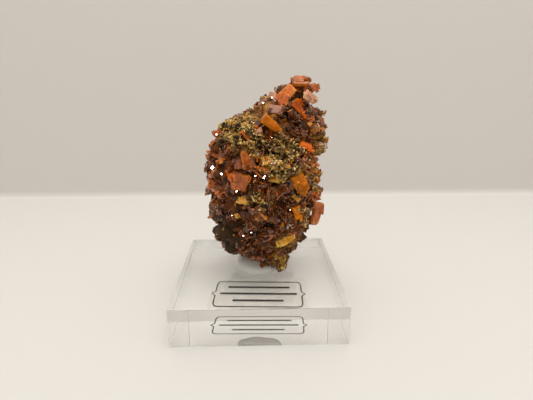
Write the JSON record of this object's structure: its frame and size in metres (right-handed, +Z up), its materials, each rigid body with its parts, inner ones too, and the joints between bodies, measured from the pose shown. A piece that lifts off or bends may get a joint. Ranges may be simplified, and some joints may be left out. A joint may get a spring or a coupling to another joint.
{
  "type": "wulfenite on matrix specimen",
  "caption": "Wulfenite crystals on rough matrix, fixed with clear putty to a square clear acrylic block with a plain label film underneath.",
  "frame": {"origin": "middle of the square footprint, on the surface that the block stands on", "axes": "+Z up; -Y is the specimen's best side, where the label reads from; +X is the viewer's right"},
  "size_m": [0.0508, 0.0508, 0.0735],
  "materials": {
    "clear_acrylic": "clear cast acrylic, polished on every side",
    "clear_film": "clear label film with a thin dark frame and plain ruled lines",
    "clear_putty": "clear soft putty, slightly cloudy",
    "matrix_rock": "rough dark brown, olive and cream crusted rock",
    "wulfenite_amber": "translucent amber crystal, resinous to glassy",
    "wulfenite_salmon": "translucent salmon crystal, glassy",
    "wulfenite_red": "translucent orange-red crystal, glassy",
    "wulfenite_ochre": "yellow-ochre crystal, resinous",
    "wulfenite_mauve": "thin brownish mauve crystal, glassy",
    "wulfenite_pale": "pale pinkish clear crystal, glassy"
  },
  "bodies": {
    "root": {"acrylic_base": "clear_acrylic", "label_film": "clear_film", "mounting_putty": "clear_putty", "matrix": "matrix_rock", "crest_blade": "wulfenite_salmon", "crest_cap": "wulfenite_red", "crest_spur": "wulfenite_salmon", "crest_pale_plate": "wulfenite_pale", "crest_fin": "wulfenite_red", "crest_left_upper": "wulfenite_pale", "crest_left_lower": "wulfenite_pale", "shoulder_crystal": "wulfenite_amber", "shoulder_plate": "wulfenite_mauve", "shoulder_shard": "wulfenite_red", "shoulder_needle": "wulfenite_pale", "top_knob": "wulfenite_red", "left_shoulder_crystal": "wulfenite_red", "right_knob": "wulfenite_red", "ridge_plates": "wulfenite_mauve", "fan_plates": "wulfenite_salmon", "left_fan_plate": "wulfenite_mauve", "yellow_crystal": "wulfenite_ochre", "centre_plate": "wulfenite_salmon", "ochre_lath": "wulfenite_ochre", "amber_crystal": "wulfenite_amber", "mauve_plate": "wulfenite_mauve", "pale_blade": "wulfenite_ochre", "slanted_lath": "wulfenite_mauve", "long_lath": "wulfenite_ochre", "left_blade": "wulfenite_amber", "left_edge_plate": "wulfenite_salmon", "right_edge_crystal": "wulfenite_amber", "lower_orange_crystal": "wulfenite_amber", "red_flake": "wulfenite_salmon", "bottom_yellow_crystal": "wulfenite_ochre", "lower_left_cube": "wulfenite_ochre", "low_edge_plate": "wulfenite_amber"}
  },
  "joints": []
}
